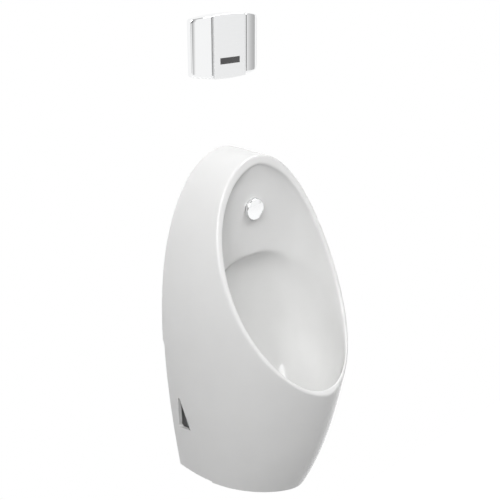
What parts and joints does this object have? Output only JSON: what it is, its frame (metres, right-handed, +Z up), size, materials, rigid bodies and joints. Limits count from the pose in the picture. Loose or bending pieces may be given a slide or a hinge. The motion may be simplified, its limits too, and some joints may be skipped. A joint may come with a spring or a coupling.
{
  "type": "wall hung urinal",
  "caption": "Wall hung vitreous china urinal with an oval mouth, top inlet spreader, bottle trap and a chromed sensor flush plate over an in-wall flush valve box.",
  "frame": {"origin": "on the wall face, midway between the two hanger fixing holes", "axes": "+Z up, +Y into the wall, +X to the right for someone facing the wall"},
  "size_m": [0.3472, 0.4067, 1.011],
  "materials": {
    "vitreous_china": "white glaze, gloss",
    "zinc_plate": "zinc plated",
    "bright_steel": "bright",
    "black_rubber": "satin",
    "turned_brass": "turned",
    "chrome_plate": "mirror",
    "brushed_panel": "fine brushed",
    "stainless": "satin",
    "white_plastic": "moulded",
    "smoked_window": "gloss",
    "sensor_lens": "gloss",
    "grey_plastic": "moulded",
    "black_plastic": "moulded",
    "box_plastic": "moulded",
    "cell_jacket": "printed jacket"
  },
  "bodies": {
    "fixed": {"batteries": "cell_jacket", "battery_case": "grey_plastic", "battery_lid": "grey_plastic", "ceramic_body": "vitreous_china", "clamp_bolts": "bright_steel", "clamp_feet": "black_rubber", "filter_screen": "stainless", "flush_box": "box_plastic", "flush_pipe": "stainless", "frame_screws": "bright_steel", "hanger_bracket_left": "zinc_plate", "hanger_bracket_right": "zinc_plate", "inlet_seal": "black_rubber", "lower_bracket_left": "zinc_plate", "lower_bracket_right": "zinc_plate", "mount_frame": "grey_plastic", "outlet_nut": "white_plastic", "outlet_pipe": "white_plastic", "outlet_rosette": "chrome_plate", "outlet_seal": "black_rubber", "plunger_spring": "stainless", "sensor_eyes": "sensor_lens", "sensor_module": "black_plastic", "solenoid_coil": "black_plastic", "spreader_back_gasket": "black_rubber", "spreader_body": "turned_brass", "spreader_cap": "chrome_plate", "spreader_front_gasket": "black_rubber", "spreader_nut": "turned_brass", "supply_nipple": "turned_brass", "trap_body": "white_plastic", "trap_cup_seal": "black_rubber", "trap_inlet_nut": "white_plastic", "trap_inlet_seal": "black_rubber", "union_nut": "turned_brass", "valve_body": "turned_brass", "valve_bonnet": "turned_brass", "waste_bottom_gasket": "black_rubber", "waste_flange": "white_plastic", "waste_nut": "white_plastic", "waste_top_gasket": "black_rubber"},
    "cover": {"cover_shell": "chrome_plate", "centre_panel": "brushed_panel", "sensor_window": "smoked_window"},
    "stop_plug": {"stop_spindle": "stainless", "stop_seal": "black_rubber"},
    "plunger": {"solenoid_plunger": "stainless"},
    "piston": {"main_piston": "black_rubber"},
    "strainer_dome": {"strainer": "stainless"},
    "trap_bowl": {"trap_cup": "white_plastic"}
  },
  "joints": [
    {"name": "cover_pull", "type": "slide", "parent": "fixed", "child": "cover", "axis": [0, -1, 0], "range_m": [0, 0.06]},
    {"name": "stop_turn", "type": "hinge", "parent": "fixed", "child": "stop_plug", "pos_m": [-0.04, 0.045, 0.358], "axis": [0, 1, 0], "range_deg": [0, 90]},
    {"name": "plunger_lift", "type": "slide", "parent": "fixed", "child": "plunger", "axis": [0, 0, 1], "range_m": [0, 0.0025], "stiffness_N_per_m": 400, "springref_m": -0.002, "deforming": ["plunger_spring"]},
    {"name": "piston_lift", "type": "slide", "parent": "fixed", "child": "piston", "axis": [0, 0, 1], "range_m": [0, 0.004]},
    {"name": "strainer_lift", "type": "slide", "parent": "fixed", "child": "strainer_dome", "axis": [0, 0, 1], "range_m": [0, 0.06]},
    {"name": "trap_cup_turn", "type": "hinge", "parent": "fixed", "child": "trap_bowl", "pos_m": [0, -0.17, -0.551], "axis": [0, 0, 1], "range_deg": [0, 90]}
  ],
  "couplings": [
    {"joint": "piston_lift", "follows": "plunger_lift", "ratio": 1.6}
  ]
}
